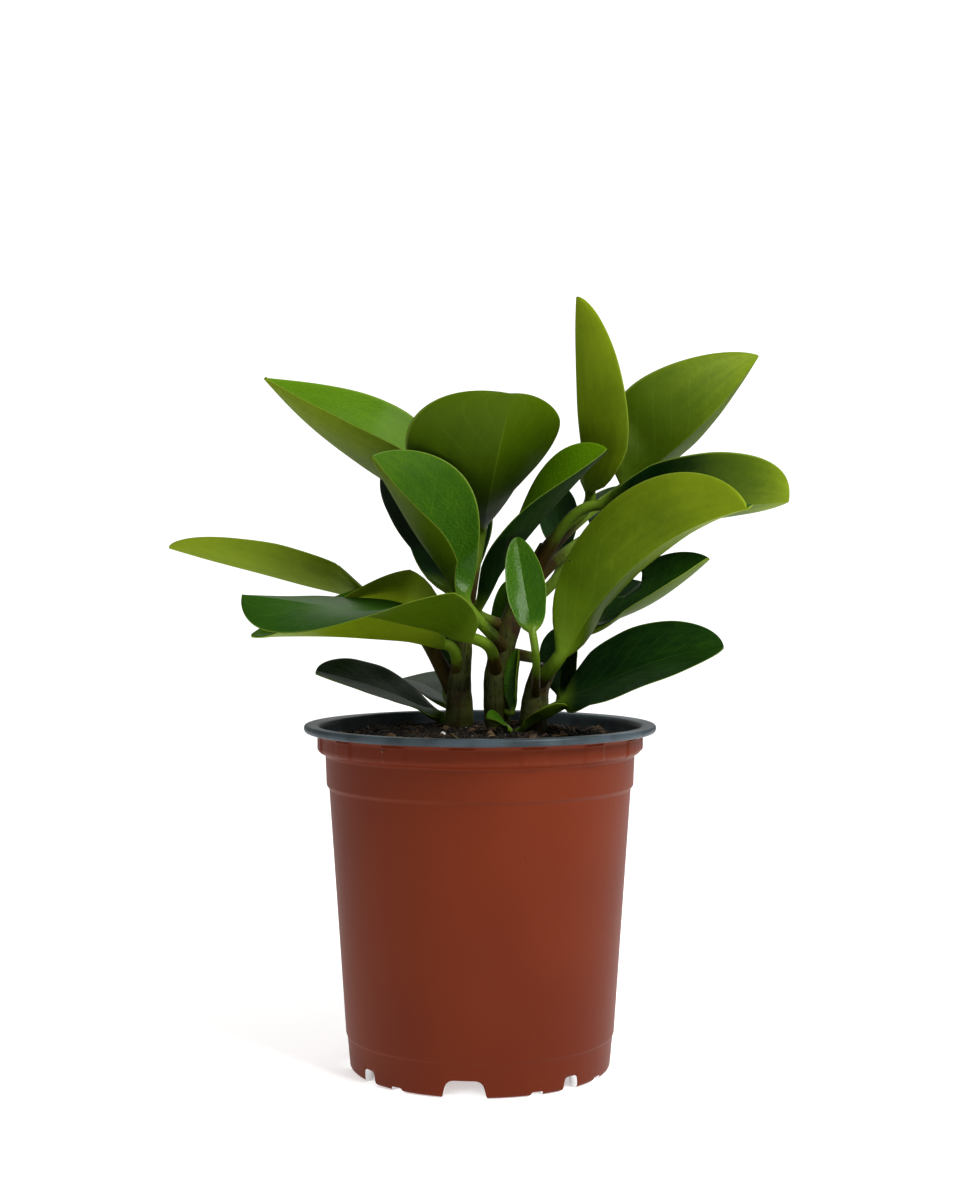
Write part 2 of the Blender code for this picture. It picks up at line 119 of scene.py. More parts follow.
# A leaf grows from foot, inside its stem, along a stalk to the base of the blade, and on to the
# tip. roll and twist turn the blade about its midrib, fold and cup raise its two halves, arch and
# sway bow the midrib, as shares of its length. All angles are in degrees.
Leaf = namedtuple(
    "Leaf",
    "name stem foot base tip width roll arch sway fold cup twist widest blunt flat tone stalk",
    defaults=(0, 0, 0, 20, 25, 0, 0.56, 0.55, 0, "olive", 1.9),
)
LEAVES = [
    Leaf("leaf_top_left", "stem_left", (-8, 1, 141), (-13, 22, 189), (-74, 2, 235), 58,
         roll=-29, arch=-0.06, sway=0.02, fold=33, cup=19, twist=-8, widest=0.34, blunt=1.0),
    Leaf("leaf_round_upper", "stem_left", (-5, 0, 150), (1, 12, 185), (10, -34, 226.5), 62,
         roll=12, arch=-0.13, sway=0.07, fold=12, cup=17, widest=0.7, blunt=0.47, flat=-0.2),
    Leaf("leaf_glossy", "stem_centre", (8, -1, 141), (-4, -30, 157), (-35, -37, 206), 47,
         roll=-46, arch=-0.07, sway=0.06, fold=50, cup=33, widest=0.58, blunt=0.7, flat=0.4,
         tone="bright"),
    Leaf("leaf_back_left", "stem_left", (-7, 1, 130), (-10, 22, 161), (-26, 54, 211), 50,
         arch=-0.05, fold=15, cup=30, tone="deep"),
    Leaf("leaf_tallest", "stem_centre", (23, 3, 176), (38, 4, 196), (33, -12, 261), 40,
         roll=-52, arch=-0.03, cup=20, widest=0.42, blunt=0.62),
    Leaf("leaf_top_right", "stem_centre", (20, 3, 171), (51, 28, 198), (100, 34, 246), 54,
         roll=-54, arch=-0.09, sway=0.02, fold=30, cup=22, widest=0.36, blunt=0.72),
    Leaf("leaf_right_upper", "stem_centre", (17, 2, 165), (41, -6, 191), (107, 8, 193), 44,
         roll=-33, arch=-0.02, fold=12, cup=18, widest=0.55, blunt=0.45),
    Leaf("leaf_right_broad", "stem_right", (19, -5, 129), (27, -18, 141), (85, -48, 189), 43,
         roll=-37, arch=0.16, fold=34, cup=20, widest=0.55, stalk=2.4),
    Leaf("leaf_diagonal", "stem_centre", (10, 0, 148), (-1, -3, 156), (42, -24, 209), 35,
         roll=21, arch=0.03, sway=0.04, fold=20, cup=16, twist=52, widest=0.63, blunt=0.6,
         tone="deep"),
    Leaf("leaf_young", "stem_right", (19, -5, 124), (17, -34, 149), (12, -24, 180), 15,
         roll=-20, arch=-0.04, fold=15, widest=0.46, blunt=0.6, tone="bright", stalk=1.3),
    Leaf("leaf_far_left", "stem_left", (-7, 1, 124), (-36, 19, 158), (-109.5, 18, 177), 38,
         roll=2, arch=-0.01, fold=24, cup=22, widest=0.45, blunt=0.65, stalk=2.4),
    Leaf("leaf_front_left", "stem_centre", (6, -1, 133), (-3, -32, 147), (-75, -54, 161), 50,
         roll=-4, arch=0.02, sway=-0.07, fold=34, cup=13, twist=-47, widest=0.5, blunt=0.52, flat=1.6,
         tone="deep"),
    Leaf("leaf_inner_left", "stem_left", (-7, 1, 130), (-12, -6, 143.7), (-77.2, -10.6, 146.8), 53,
         arch=0.02, fold=60, cup=24, twist=-30, widest=0.26, blunt=0.65, flat=0.9),
    Leaf("leaf_low_left", "stem_left", (-7, 2, 117), (-14, 8, 118), (-56, -4, 134), 28,
         roll=-22, arch=0.03, fold=10, cup=10, tone="deep"),
    Leaf("leaf_low_right", "stem_right", (18, -5, 118), (28, -12, 124), (80, -28, 144), 36,
         roll=36, arch=0.05, fold=10, cup=12, widest=0.48, tone="deep"),
    Leaf("leaf_bitten", "stem_right", (18, -5, 121), (37, 6, 148), (80, 14, 173), 33,
         roll=14, arch=-0.06, fold=22, cup=16),
    Leaf("leaf_back_right", "stem_centre", (7, -1, 139), (28, 28, 140), (60, 54, 164), 26,
         roll=12, fold=12, cup=14, tone="deep"),
    Leaf("leaf_back_centre", "stem_centre", (10, 0, 149), (29, 28, 172), (28, 50, 200), 16,
         arch=-0.04, fold=15, tone="deep"),
    Leaf("leaf_round_small", "stem_right", (18, -5, 117), (28, 13, 125), (29, 16, 149), 16,
         fold=15, tone="deep", stalk=1.3),
    Leaf("leaf_soil_folded", "stem_right", (18, -5, 116), (13, -14, 115), (29, -18, 124), 11,
         fold=26, cup=15, tone="deep", stalk=1.0),
    Leaf("leaf_sprout", "stem_centre", (6, 0, 117), (9, -16, 116), (2, -20, 120), 9,
         roll=-30, arch=0.05, fold=15, cup=15, tone="bright", stalk=0.9),
    Leaf("leaf_pale_back", "stem_centre", (6, -1, 130), (6, 16, 135), (10, 24, 165), 9,
         fold=15, stalk=1.2),
    Leaf("leaf_inner_back", "stem_left", (-7, 1, 121), (-12, 17, 127), (-9, 25, 154), 11,
         fold=15, tone="deep", stalk=1.2),
    Leaf("leaf_low_back", "stem_left", (-7, 2, 119), (-9, 18, 120), (-30, 66, 127), 30,
         arch=0.05, fold=12, cup=12, tone="deep", stalk=1.4),
    Leaf("leaf_narrow_young", "stem_centre", (6, 0, 122), (11, -6, 121), (13, -4, 142), 8,
         fold=30, tone="bright", stalk=0.9),
    Leaf("leaf_back_upper", "stem_centre", (15, 1, 160), (44, 40, 183), (69, 72, 199), 36,
         arch=-0.03, fold=14, cup=20),
]
# Painted light and shade on each leaf, from 0 for deep painted shade to 1 for pale, lit yellow-green:
# the underside at its base and tip, then the upper face at its base and tip.
Tint = namedtuple("Tint", "under_base under_tip over_base over_tip")
PAINTED_LEAF_LIGHT = {
    "leaf_top_left": Tint(0.62, 0.80, 0.78, 0.88),
    "leaf_round_upper": Tint(0.20, 0.48, 0.3, 0.4),
    "leaf_glossy": Tint(0.38, 0.62, 0.52, 0.66),
    "leaf_back_left": Tint(0.15, 0.2, 0.1, 0.15),
    "leaf_tallest": Tint(0.66, 0.86, 0.45, 0.55),
    "leaf_top_right": Tint(0.30, 0.74, 0.4, 0.5),
    "leaf_right_upper": Tint(-0.28, 0.80, -0.1, 0.4),
    "leaf_right_broad": Tint(0.38, 0.90, 0.42, 0.50),
    "leaf_diagonal": Tint(0.04, 0.10, 0.80, 0.95),
    "leaf_young": Tint(0.5, 0.6, 0.48, 0.60),
    "leaf_far_left": Tint(0.64, 0.90, 0.15, 0.25),
    "leaf_front_left": Tint(0.34, 0.52, 0.30, 0.34),
    "leaf_inner_left": Tint(0.84, 0.92, 0.5, 0.6),
    "leaf_low_left": Tint(0.12, 0.18, 0.10, 0.16),
    "leaf_low_right": Tint(0.15, 0.2, 0.06, 0.20),
    "leaf_bitten": Tint(0.40, 0.60, 0.12, 0.24),
    "leaf_back_right": Tint(0.2, 0.3, 0.05, 0.1),
    "leaf_back_centre": Tint(0.1, 0.2, 0.1, 0.2),
    "leaf_round_small": Tint(0.15, 0.2, 0.1, 0.15),
    "leaf_soil_folded": Tint(0.3, 0.4, 0.25, 0.35),
    "leaf_sprout": Tint(0.5, 0.6, 0.5, 0.6),
    "leaf_pale_back": Tint(0.7, 0.9, 0.5, 0.6),
    "leaf_inner_back": Tint(0.2, 0.25, 0.1, 0.2),
    "leaf_low_back": Tint(0.2, 0.3, 0.1, 0.15),
    "leaf_narrow_young": Tint(0.5, 0.6, 0.5, 0.6),
    "leaf_back_upper": Tint(0.4, 0.6, 0.2, 0.3),
}
CREASE = 0.08  # half width of the rounded crease along the midrib, as a share of the half blade
BLEND = 0.22  # share of the blade over which the round stalk becomes a flat blade
BITE_PLACE = 0.42  # share of the bitten leaf's length where its far edge is eaten
BITE_RADIUS = 8.0

# Pot profile: radius, height and corner rounding of each corner, from the middle of the floor
# inside, up the wall, over the rolled rim and down to the middle of the base underneath.
GREY_CORNERS = 11  # the first corners of the profile, which lie on the grey inner layer
POT_CORNERS = [
    (0, 6.6, 0),
    (40.4, 6.6, 2.5),
    (43.7, 10, 2),
    (44.6, 13.4, 2),
    (50.2, 94, 1),
    (51.3, 96.5, 1),
    (51.5, 106.3, 0.8),
    (54.2, 112, 1.5),
    (54.8, 116.4, 2.2),
    (60.2, 116.4, 1.9),
    (60, 113.8, 0.7),
    (56, 113.8, 0.7),
    (55.2, 112.6, 0.6),
    (55.2, 107.6, 1.6),
    (52.8, 106.2, 0.5),
    (52.4, 95.9, 0.25),
    (51.5, 94.7, 0.3),
    (45.75, 11.7, 0.25),
    (45.35, 11.0, 0.3),
    (44.9, 7, 0.8),
    (44.4, 0, 1.2),
    (41.2, 0, 0.6),
    (40.9, 5.2, 0.6),
    (0, 5.2, 0),
]
# Notches in the foot: angle from the front, degrees to the right; width in degrees; height
NOTCHES = [
    (-6.5, 18, 5.8),
    (-54.5, 8, 4.5),
    (41.5, 8, 4.5),
    (24.5, 6, 1.3),
    (-37.5, 6, 1.3),
    (60.5, 6, 1.3),
    (90, 18, 4.5),
    (-90, 18, 4.5),
    (135, 8, 4.5),
    (-135, 8, 4.5),
    (180, 18, 5.8),
]

# ---------------------------------------------------------------- settings

# The six drain holes: radius of the ring they lie on, and their own
DRAINS = 6
DRAIN_RING = 30
DRAIN_RADIUS = 3.5
# Radius at which a notch's width is measured, and the depths between which it is cut
NOTCH_RING = 44.4
NOTCH_DEPTHS = (-49.5, -35)
# Area over which the number of grains counts, in square metres
SOIL_AREA = math.pi * 0.0518**2
# Sections along a stem and points round it
STEM_ROWS = 70
STEM_SIDES = 28
# Roughness of the upper face, height of its pebbles and weight of its coat, for each tone
SKINS = {"olive": (0.50, 0.5, 0.03), "deep": (0.52, 0.5, 0.03), "bright": (0.38, 1.3, 0.12)}


def length(name, description, default):
    return FloatProperty(
        name=name, description=description, default=default, min=0, unit="LENGTH", precision=5
    )


def colour(name, description, default):
    return FloatVectorProperty(
        name=name, description=description, default=default, min=0, max=1, subtype="COLOR"
    )


class PotSettings(bpy.types.PropertyGroup):
    """The nursery pot"""

    steps: IntProperty(name="Steps", description="Faces round the pot", default=450, min=24)
    panels: IntProperty(name="Panels", description="Raised panels round the collar", default=15)
    panel_share: FloatProperty(
        name="Panel width", description="Share of the collar that the panels take", default=0.38
    )
    panel_relief: length("Panel relief", "How far the collar's panels stand out", 0.00042)
    outside: colour("Outside", "Terracotta layer", (0.150, 0.0255, 0.0055))
    shade: colour("Outside, worn", "Terracotta layer where it is duller", (0.125, 0.0200, 0.0050))
    inside: colour("Inside", "Grey layer, seen on the rim and inside", (0.062, 0.082, 0.094))


class SoilSettings(bpy.types.PropertyGroup):
    """Peat and what lies in it"""

    crown: length("Crown", "Height of the peat's top in the middle", 0.1146)
    edge: length("Edge", "Height of the peat's top at the wall", 0.1108)
    radius: length("Radius", "Radius of the peat's top", 0.0518)
    crumb: length("Crumb", "Size of a peat crumb", 0.0012)
    crumbs: IntProperty(name="Crumbs", description="Number of peat crumbs", default=5200)
    perlite: IntProperty(name="Perlite", description="Number of perlite grains", default=150)
    fibres: IntProperty(name="Fibres", description="Number of root fibres and straws", default=420)
    seed: IntProperty(name="Seed", description="Changes how the soil lies", default=7)
    dark: colour("Peat", "Moist peat", (0.0065, 0.0050, 0.0042))
    brown: colour("Crumbs", "Drier crumbs and bark", (0.060, 0.036, 0.020))
    straw: colour("Straw", "Pale fibres", (0.27, 0.19, 0.085))


class PlantSettings(bpy.types.PropertyGroup):
    """Leaves and stems"""

    half_thickness: length("Half thickness", "Half the thickness of a blade", 0.00062)
    rows: IntProperty(name="Rows", description="Sections along a blade", default=44)
    stalk_rows: IntProperty(name="Stalk rows", description="Sections along a stalk", default=14)
    wave: length("Wave", "How far a blade waves up and down", 0.0007)
    # Greens of each face, from painted shade through plain to painted light; the leaf's painted light
    # and shade picks between them
    over_painted_shade: colour("Upper face, shaded", "Old, shaded leaf from above", (0.003, 0.018, 0.004))
    over: colour("Upper face", "Leaf from above", (0.030, 0.092, 0.004))
    over_painted_lit: colour("Upper face, sunlit", "Sunlit leaf from above", (0.115, 0.230, 0.001))
    under_painted_shade: colour("Underside, shaded", "Old, shaded leaf from below", (0.003, 0.022, 0.001))
    under: colour("Underside", "Leaf from below", (0.062, 0.105, 0.001))
    under_painted_lit: colour("Underside, sunlit", "Sunlit leaf from below", (0.215, 0.290, 0.010))
    stalk: colour("Stalk", "Leaf stalk", (0.150, 0.240, 0.018))
    margin: colour("Margin", "Thin line round a blade", (0.230, 0.310, 0.045))
    stem: colour("Stem", "Stem bark", (0.038, 0.042, 0.007))
    joint: colour("Joint", "Where a stalk meets its stem", (0.045, 0.012, 0.006))


class StageSettings(bpy.types.PropertyGroup):
    """Floor, lights and camera"""

    floor: colour("Floor", "Plain pale floor", (0.90, 0.90, 0.90))
    reach: length("Reach", "Radius of the floor", 1.0)
    glow: FloatProperty(name="Glow", description="Own light of the floor, which keeps it pale",
                        default=0.45)
    sky: FloatProperty(name="Sky", description="Strength of the light from all round", default=0.32)
    distance: length("Distance", "Camera to the pot's axis", 0.658)
    height: length("Height", "Camera above the floor", 0.1726)
    lens: FloatProperty(name="Lens", description="Focal length in millimetres", default=57.6)


# ---------------------------------------------------------------- node trees written as expressions


class Field:
    """A node's output, which Python's operators work on"""

    def __init__(self, nodes, socket):
        self.nodes, self.socket = nodes, socket

    def math(self, operation, *values):
        return self.nodes.add("ShaderNodeMath", values or (self,), operation=operation)

    def __add__(self, other):
        return self.math("ADD", self, other)

    def __sub__(self, other):
        return self.math("SUBTRACT", self, other)

    def __rsub__(self, other):
        return self.math("SUBTRACT", other, self)

    def __mul__(self, other):
        return self.math("MULTIPLY", self, other)

    def __truediv__(self, other):
        return self.math("DIVIDE", self, other)

    def __pow__(self, other):
        return self.math("POWER", self, other)

    def __abs__(self):
        return self.math("ABSOLUTE")

    __radd__ = __add__
    __rmul__ = __mul__

    def ramp(self, low, high, start=0.0, end=1.0):
        """Smoothly from start at low to end at high"""
        sockets = {"Value": self, "From Min": low, "From Max": high, "To Min": start, "To Max": end}
        return self.nodes.add("ShaderNodeMapRange", sockets, interpolation_type="SMOOTHSTEP")


class Nodes:
    """A node tree: add() is the one way to put a node in it"""

    def __init__(self, tree):
        self.tree = tree
        tree.nodes.clear()

    def add(self, kind, sockets=(), output=0, stops=(), **settings):
        node = self.tree.nodes.new(kind)
        for name, value in settings.items():
            setattr(node, name, value)
        for i, (place, tint) in enumerate(stops):
            ramp = node.color_ramp.elements
            stop = ramp[i] if i < len(ramp) else ramp.new(place)
            stop.position = place
            stop.color = tint
        pairs = sockets.items() if isinstance(sockets, dict) else enumerate(sockets)
        for key, value in pairs:
            if isinstance(value, Field):
                self.tree.links.new(value.socket, node.inputs[key])
            elif value is not None:
                node.inputs[key].default_value = value
        return Field(self, node.outputs[output])

    def output(self, field, name):
        """Another output of the node that field comes from"""
        return Field(self, field.socket.node.outputs[name])


class Finish(Nodes):
    """A material: its Principled shader gets fixed numbers and, where they vary, fields"""

    def __init__(self, name):
        self.material = bpy.data.materials.new(name)
        self.material.use_nodes = True
        super().__init__(self.material.node_tree)
        self.place = self.add("ShaderNodeTexCoord", output="Object")

    def noise(self, size, detail=2.0, roughness=0.5, place=None):
        """Soft noise from 0 to 1, with features of about that size in metres"""
        sockets = {"Vector": place or self.place, "Scale": 1 / size, "Detail": detail,
                   "Roughness": roughness}
        return self.add("ShaderNodeTexNoise", sockets)

    def cells(self, size, output="Distance", spread=1.0):
        sockets = {"Vector": self.place, "Scale": 1 / size, "Randomness": spread}
        return self.add("ShaderNodeTexVoronoi", sockets, output=output)

    def attribute(self, name):
        return self.add("ShaderNodeAttribute", output="Fac", attribute_name=name)

    def mix(self, share, first, second):
        """From the first colour to the second"""
        sockets = {0: share, 6: rgba(first), 7: rgba(second)}
        return self.add("ShaderNodeMix", sockets, output=2, data_type="RGBA")

    def bump(self, height, depth, strength=1.0):
        """Relief of that depth in metres"""
        return self.add("ShaderNodeBump", {"Height": height, "Distance": depth, "Strength": strength})

    def finish(self, **sockets):
        """Ends the tree in a Principled shader; underscores stand for spaces"""
        named = {name.replace("_", " "): value for name, value in sockets.items()}
        shader = self.add("ShaderNodeBsdfPrincipled", named)
        self.add_output(shader)
        return self.material

    def add_output(self, shader):
        node = self.tree.nodes.new("ShaderNodeOutputMaterial")
        self.tree.links.new(shader.socket, node.inputs["Surface"])


def rgba(value):
    return value if isinstance(value, Field) else (*value, 1)


class Maker(Nodes):
    """A Geometry Nodes tree with named inputs, which ends in Realize Instances and Set Material"""

    def __init__(self, name):
        tree = bpy.data.node_groups.new(name, "GeometryNodeTree")
        tree.interface.new_socket("Geometry", in_out="OUTPUT", socket_type="NodeSocketGeometry")
        tree.interface.new_socket("Geometry", in_out="INPUT", socket_type="NodeSocketGeometry")
        super().__init__(tree)
        self.values = {}
        self.entry = None

    def inputs(self, material, **values):
        for name, value in values.items():
            kind = "NodeSocketInt" if isinstance(value, int) else "NodeSocketFloat"
            socket = self.tree.interface.new_socket(name, in_out="INPUT", socket_type=kind)
            self.values[socket.identifier] = value
        socket = self.tree.interface.new_socket(
            "Material", in_out="INPUT", socket_type="NodeSocketMaterial"
        )
        self.values[socket.identifier] = material
        self.entry = self.tree.nodes.new("NodeGroupInput")

    def value(self, name):
        return Field(self, self.entry.outputs[name])

    def close(self, geometry):
        real = self.add("GeometryNodeRealizeInstances", (geometry,))
        painted = self.add(
            "GeometryNodeSetMaterial", {"Geometry": real, "Material": self.value("Material")}
        )
        node = self.tree.nodes.new("NodeGroupOutput")
        self.tree.links.new(painted.socket, node.inputs[0])

    def applied(self, obj):
        """Runs the tree on obj, which then holds the result as a plain mesh"""
        modifier = obj.modifiers.new("made", "NODES")
        modifier.node_group = self.tree
        for identifier, value in self.values.items():
            modifier[identifier] = value
        return plain(obj)


# ---------------------------------------------------------------- meshes


def plain(obj):
    """Applies what obj's modifiers make, and removes them"""
    graph = bpy.context.evaluated_depsgraph_get()
    made = bpy.data.meshes.new_from_object(obj.evaluated_get(graph))
    if not made.polygons:
        raise RuntimeError(f"{obj.name} has no faces")
    obj.modifiers.clear()
    obj.data = made
    return obj


def new_object(name, mesh):
    obj = bpy.data.objects.new(name, mesh)
    bpy.context.scene.collection.objects.link(obj)
    return obj


def mesh_of(name, points, faces, edges=()):
    """A mesh from points in millimetres"""
    mesh = bpy.data.meshes.new(name)
    mesh.from_pydata([tuple(p) for p in np.array(points) * MM], list(edges), faces)
    return mesh


def face_out(mesh):
    form = bmesh.new()
    form.from_mesh(mesh)
    bmesh.ops.recalc_face_normals(form, faces=form.faces)
    form.to_mesh(mesh)
    form.free()
    mesh.shade_smooth()


def set_values(mesh, name, values):
    """Stores one number for each point"""
    attribute = mesh.attributes.new(name, "FLOAT", "POINT")
    attribute.data.foreach_set("value", np.asarray(values, np.float32))


def placed(obj, slot, *nodes):
    """Puts a finished piece on the root body, in the place of those CAD nodes"""
    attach(obj, "root")
    if nodes:
        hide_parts(*nodes)
    return obj


def cutter(name, form, centre):
    """The form, moved to its centre, as an object to cut with"""
    bmesh.ops.translate(form, verts=form.verts, vec=centre)
    mesh = bpy.data.meshes.new(name)
    form.to_mesh(mesh)
    form.free()
    return new_object(name, mesh)


def cut(obj, tool):
    """Cuts the closed tool out of obj, and removes it"""
    modifier = obj.modifiers.new("cut", "BOOLEAN")
    modifier.operation = "DIFFERENCE"
    modifier.solver = "EXACT"
    modifier.object = tool
    bpy.context.view_layer.update()
    plain(obj)
    bpy.data.objects.remove(tool, do_unlink=True)


def unit(vector):
    return vector / np.linalg.norm(vector)


def smooth_path(points, values, count):
    """Catmull-Rom curve through the points, with values carried along"""
    points, values = np.array(points, float), np.array(values, float)
    along = np.linspace(0, len(points) - 1, count)
    found, carried = [], []
    for u in along:
        i = min(int(u), len(points) - 2)
        f = u - i
        p = [points[min(max(i + k, 0), len(points) - 1)] for k in (-1, 0, 1, 2)]
        v = [values[min(max(i + k, 0), len(points) - 1)] for k in (-1, 0, 1, 2)]
        w = (
            (-f + 2 * f**2 - f**3) / 2,
            (2 - 5 * f**2 + 3 * f**3) / 2,
            (f + 4 * f**2 - 3 * f**3) / 2,
            (f**3 - f**2) / 2,
        )
        found.append(sum(a * b for a, b in zip(w, p)))
        carried.append(sum(a * b for a, b in zip(w, v)))
    return found, carried


# ---------------------------------------------------------------- leaf form


def turned(vector, axis, degrees):
    """The vector turned about a unit axis, right handed"""
    angle = math.radians(degrees)
    across = np.cross(axis, vector)
    along = axis * np.dot(axis, vector)
    return vector * math.cos(angle) + across * math.sin(angle) + along * (1 - math.cos(angle))


def midrib(leaf, t):
    """Point, heading and upper-face normal of the midrib, at share t of the blade"""
    base, tip = np.array(leaf.base, float), np.array(leaf.tip, float)
    length = np.linalg.norm(tip - base)
    along = (tip - base) / length
    up = turned(unit(np.array((0, 0, 1)) - along * along[2]), along, leaf.roll)
    bow = up * leaf.arch + np.cross(along, up) * leaf.sway
    point = base + length * (along * t + bow * 4 * t * (1 - t))
    heading = unit(along + bow * 4 * (1 - 2 * t))
    normal = unit(up - heading * np.dot(up, heading))
    return point, heading, turned(normal, heading, leaf.twist * (t - 0.5))


def half_width(leaf, t):
    """Egg-shaped outline: narrow at the stalk, widest at leaf.widest, blunt at the tip"""
    q = leaf.blunt
    p = q * leaf.widest / (1 - leaf.widest)
    most = leaf.widest**p * (1 - leaf.widest) ** q
    blade = leaf.width / 2 * t**p * (1 - t) ** q / most
    stalk = leaf.stalk * (1 - t) ** 2
    return (blade**4 + stalk**4) ** 0.25


def half_thickness(leaf, t, thin):
    """The stalk's radius at the base of the blade, thinning smoothly to the sheet of the blade"""
    u = min(t / BLEND, 1)
    return thin + (leaf.stalk - thin) * (1 - u * u * (3 - 2 * u))


def lifted(leaf, t, s):
    """How far out, how high and how steep share s of the half blade is, in half widths"""
    opened = min(t / BLEND, 1) ** 0.7 * (1 - leaf.flat * t)
    fold = math.radians(leaf.fold) * opened
    cup = math.radians(leaf.cup) * opened + 1e-4
    a = (math.hypot(s, CREASE) - CREASE) / (math.hypot(1, CREASE) - CREASE)
    out = (math.sin(fold + cup * a) - math.sin(fold)) / cup
    rise = (math.cos(fold) - math.cos(fold + cup * a)) / cup
    return math.copysign(out, s), rise, math.copysign(fold + cup * a, s) * min(a / CREASE, 1)


def stalk_point(leaf, u):
    """Centre line of the stalk: a cubic from its foot in the stem to the base of the blade"""
    start, heading, _ = midrib(leaf, 0)
    foot = np.array(leaf.foot, float)
    reach = np.linalg.norm(start - foot)
    leave = unit(unit(start - foot) + np.array((0, 0, 0.25)))
    return (
        (2 * u**3 - 3 * u**2 + 1) * foot
        + (u**3 - 2 * u**2 + u) * leave * reach
        + (3 * u**2 - 2 * u**3) * start
        + (u**3 - u**2) * heading * reach
    )


# Places round a section: from one margin over the upper face to the other, then back below.
# They crowd towards the margins and the midrib.
ACROSS = (1.0, 0.985, 0.94, 0.86, 0.74, 0.6, 0.45, 0.3, 0.17, 0.08, 0.03)
SECTION = [(s, 1) for s in ACROSS] + [(0, 1)] + [(-s, 1) for s in reversed(ACROSS)]
SECTION += [(-s, -1) for s in ACROSS[1:]] + [(0, -1)] + [(s, -1) for s in reversed(ACROSS[1:])]


def wave_of(leaf, t, s):
    """Gentle unevenness of a blade, from -1 to 1, strongest at the margins"""
    seed = float(sum(leaf.name.encode()))
    low = noise.noise(Vector((t * 2.3 + seed, s * 1.1, seed * 0.37)))
    high = noise.noise(Vector((t * 6.0 + seed * 0.7, s * 1.6, seed)))
    edge = min(t / BLEND, 1) * (1 - t) ** 0.5
    return (low * 1.2 + high * 0.8 * abs(s)) * edge


def leaf_rings(leaf, settings):
    """The sections from the foot of the stalk to the tip, and each one's place along the leaf"""
    thin, wave = settings.half_thickness / MM, settings.wave / MM
    rings, along = [], []
    shares = [k / settings.stalk_rows for k in range(settings.stalk_rows + 1)]
    points = [stalk_point(leaf, u) for u in shares]
    _, heading, normal = midrib(leaf, 0)
    for i in range(settings.stalk_rows - 1, -1, -1):
        heading = unit(points[i + 1] - points[max(i - 1, 0)])
        normal = unit(normal - heading * np.dot(normal, heading))
        side = np.cross(heading, normal)
        radius = leaf.stalk * (1 + 0.35 * (1 - shares[i]) ** 3)
        rings.append([
            points[i] + radius * (side * s + normal * face * math.sqrt(1 - s * s))
            for s, face in SECTION
        ])
        along.append(shares[i] - 1)
    rings.reverse()
    along.reverse()
    for i in range(settings.rows):
        t = 1 - (1 - i / settings.rows) ** 1.7
        point, heading, normal = midrib(leaf, t)
        side = np.cross(heading, normal)
        half, thick = half_width(leaf, t), half_thickness(leaf, t, thin)
        ring = []
        for s, face in SECTION:
            out, rise, tilt = lifted(leaf, t, s)
            skin = normal * math.cos(tilt) - side * math.sin(tilt)
            bulge = thick * math.sqrt(1 - s * s) * face + wave * wave_of(leaf, t, s)
            ring.append(point + half * (side * out + normal * rise) + skin * bulge)
        rings.append(ring)
        along.append(t)
    return rings, along


def loft(rings):
    """Points and quads of a tube through closed rings, with its ends open"""
    count = len(rings[0])
    faces = []
    for i in range(0, (len(rings) - 1) * count, count):
        for k in range(count):
            n = (k + 1) % count
            faces.append((i + k, i + n, i + count + n, i + count + k))
    return [point for ring in rings for point in ring], faces


def fan(faces, first, count, centre):
    faces += [(first + k, first + (k + 1) % count, centre) for k in range(count)]


def painted_sunlight(leaf, t, face):
    """Painted light and shade of the leaf at share t of its blade, on the face that looks up (1) or
    down
    """
    tint = PAINTED_LEAF_LIGHT[leaf.name]
    t = max(t, 0)
    over = tint.over_base + (tint.over_tip - tint.over_base) * t
    under = tint.under_base + (tint.under_tip - tint.under_base) * t
    return over if face > 0 else under


def leaf_object(leaf, settings, finish):
    """One closed blade with its stalk"""
    rings, along = leaf_rings(leaf, settings)
    points, faces = loft(rings)
    count = len(SECTION)
    points += [np.mean(rings[0], axis=0), midrib(leaf, 1)[0]]
    fan(faces, 0, count, len(points) - 2)
    fan(faces, (len(rings) - 1) * count, count, len(points) - 1)
    name = leaf.name.replace("leaf_", "") + "_leaf"
    mesh = mesh_of(name, points, faces)
    face_out(mesh)
    set_values(mesh, "along", [t for t in along for _ in SECTION] + [-1, 1])
    set_values(mesh, "across", [s for _ in along for s, _ in SECTION] + [0, 0])
    upper = [face if abs(s) < 1 else 0 for s, face in SECTION]
    set_values(mesh, "upper", [face for _ in along for face in upper] + [0, 0])
    # Painted light and shade for each point, taken from the leaf's table, for the finish to pick its
    # greens by
    set_values(mesh, "sun", [painted_sunlight(leaf, t, face) for t in along for face in upper] + [0.5, 0.5])
    mesh.materials.append(finish)
    return new_object(name, mesh)


# ---------------------------------------------------------------- finishes


